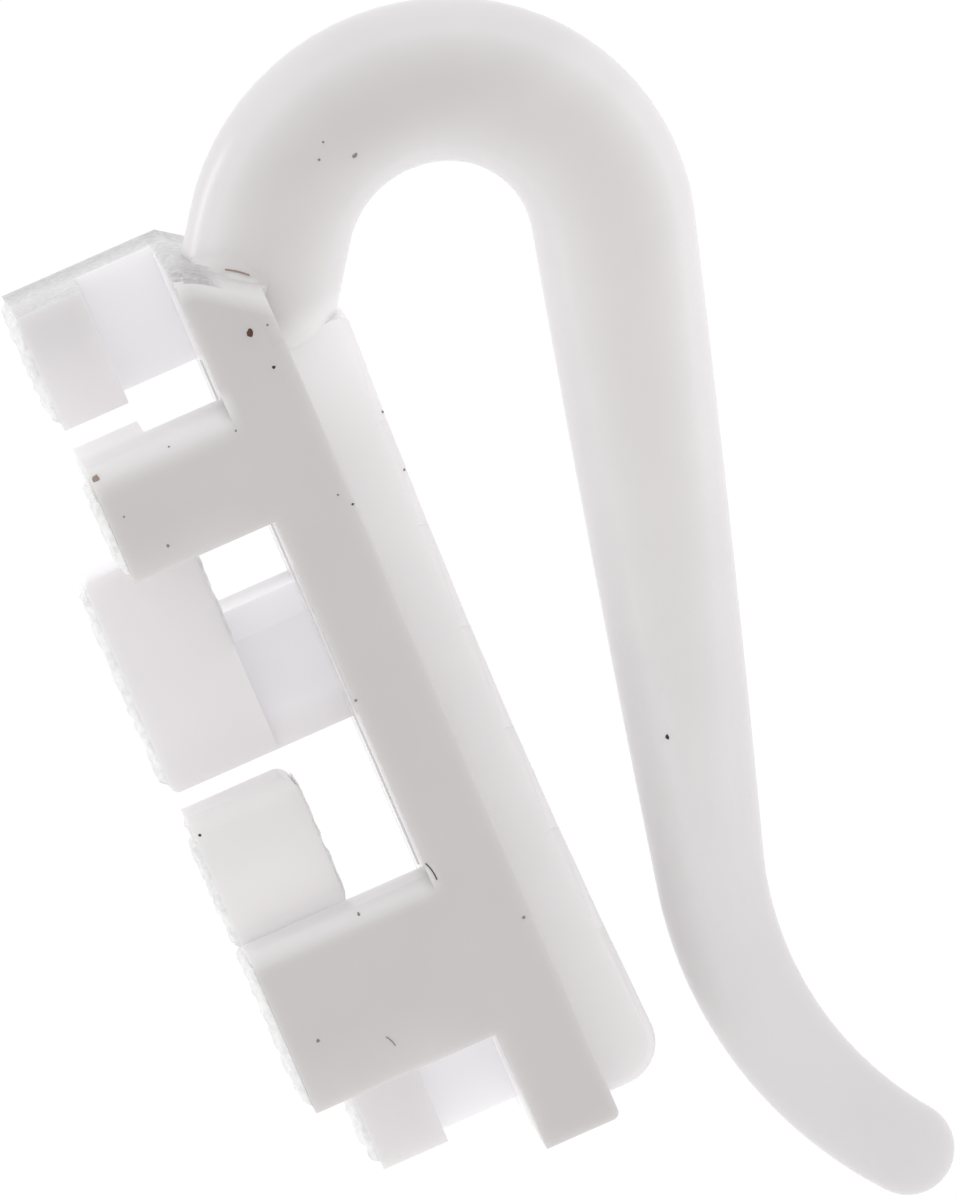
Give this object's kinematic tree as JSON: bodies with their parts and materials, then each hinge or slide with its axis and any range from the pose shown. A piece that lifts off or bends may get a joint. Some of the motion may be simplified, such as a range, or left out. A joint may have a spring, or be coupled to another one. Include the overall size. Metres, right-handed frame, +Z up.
{
  "type": "curtain hook",
  "caption": "Moulded plastic curtain hook: a tapering round hook rod rising from an upright plate whose front carries alternating L-shaped fingers that grip a tape or track.",
  "frame": {"origin": "seat of the hook: the top of the inside of the arch, on the mould's parting plane", "axes": "+Z up along the plate, +X from the plate towards the hook's arm, +Y away from the viewer across the plate's width"},
  "size_m": [0.0182, 0.0064, 0.0333],
  "materials": {
    "white_plastic": "milky white, slightly translucent, satin with rough spark-eroded upper faces"
  },
  "bodies": {
    "root": {"curtain_hook": "white_plastic"}
  },
  "joints": []
}
